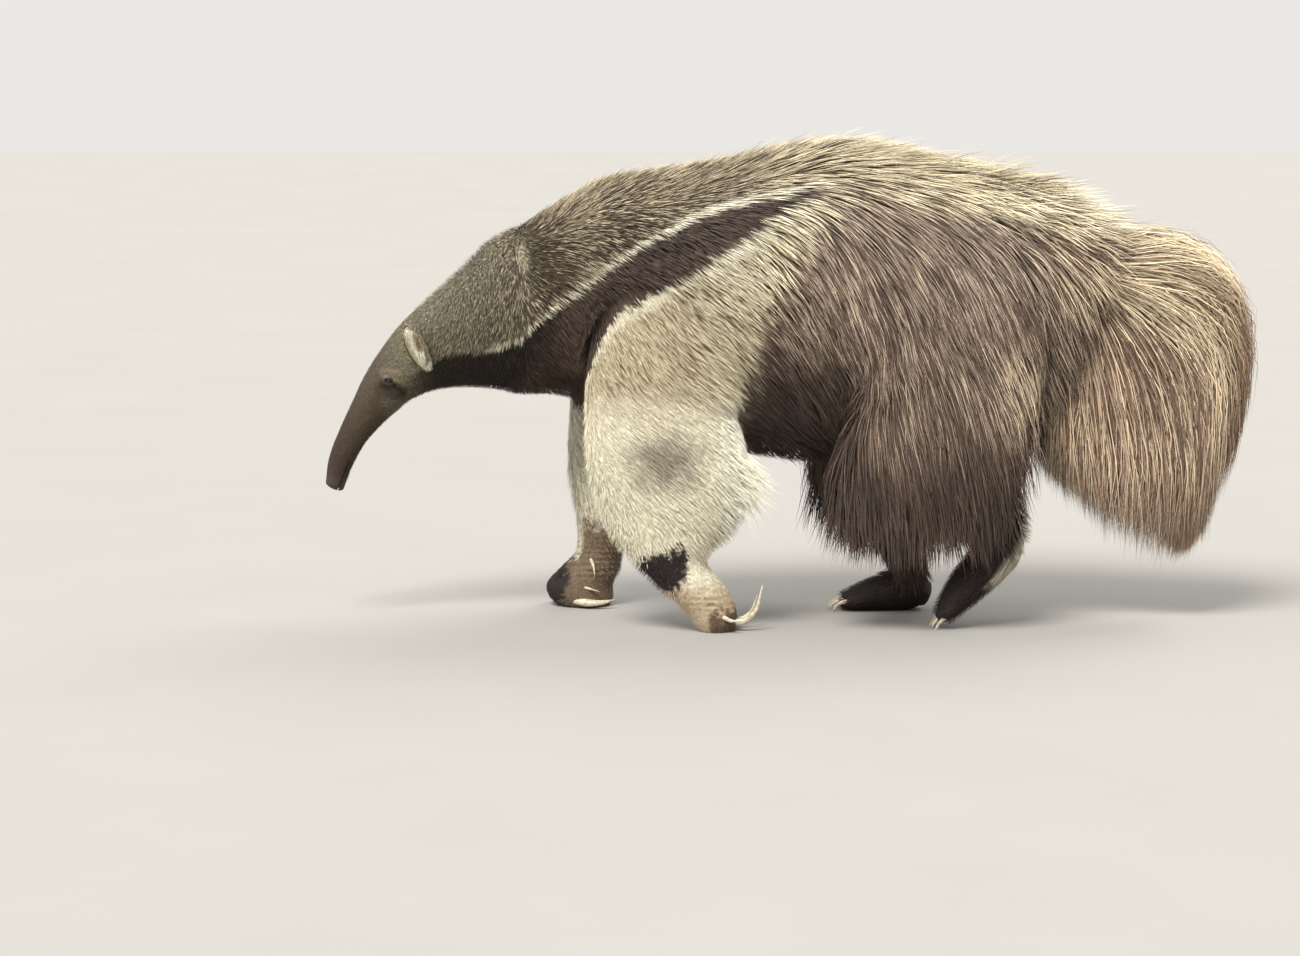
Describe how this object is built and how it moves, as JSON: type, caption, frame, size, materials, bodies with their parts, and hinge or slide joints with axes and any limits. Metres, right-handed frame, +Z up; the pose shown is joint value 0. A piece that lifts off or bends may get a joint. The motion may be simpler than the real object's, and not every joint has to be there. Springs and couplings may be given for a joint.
{
  "type": "giant anteater model",
  "caption": "Life-size still model of a giant anteater walking with its head low, long coarse coat and drooping brush of a tail.",
  "frame": {"origin": "the middle of the animal's footprint box, on the floor it stands on", "axes": "+X towards the tail, so the head points along -X; +Y towards the animal's right side; +Z up"},
  "size_m": [1.377, 0.378, 0.7215],
  "materials": {
    "coat_head": "short grizzled grey-brown fur, darker on the snout",
    "coat_torso": "long coarse grey-brown hair with a white-edged dark shoulder stripe",
    "coat_foreleg": "short cream fur with dark flecks",
    "coat_hind": "long dark brown hair",
    "coat_tail": "long coarse hair, straw-coloured above and brown below",
    "paw": "short blackish fur over rough pads",
    "claw": "worn horn, pale grey-ivory",
    "eye": "wet dark brown eyeball"
  },
  "bodies": {
    "root": {"head": "coat_head", "ear_left": "coat_head", "ear_right": "coat_head", "eye_left": "eye", "eye_right": "eye", "neck": "coat_head", "torso_front": "coat_torso", "torso_rear": "coat_torso", "tail_base": "coat_tail", "tail_middle": "coat_tail", "tail_tip": "coat_tail", "foreleg_left_upper": "coat_foreleg", "foreleg_left_lower": "coat_foreleg", "forepaw_left": "paw", "foreclaw_left_thumb": "claw", "foreclaw_left_second": "claw", "foreclaw_left_third": "claw", "foreclaw_left_fourth": "claw", "hind_leg_left_thigh": "coat_hind", "hind_leg_left_shank": "coat_hind", "hind_foot_left": "paw", "hindclaw_left_1": "claw", "hindclaw_left_2": "claw", "hindclaw_left_3": "claw", "hindclaw_left_4": "claw", "hindclaw_left_5": "claw", "foreleg_right_upper": "coat_foreleg", "foreleg_right_lower": "coat_foreleg", "forepaw_right": "paw", "foreclaw_right_thumb": "claw", "foreclaw_right_second": "claw", "foreclaw_right_third": "claw", "foreclaw_right_fourth": "claw", "hind_leg_right_thigh": "coat_hind", "hind_leg_right_shank": "coat_hind", "hind_foot_right": "paw", "hindclaw_right_1": "claw", "hindclaw_right_2": "claw", "hindclaw_right_3": "claw", "hindclaw_right_4": "claw", "hindclaw_right_5": "claw"}
  },
  "joints": []
}
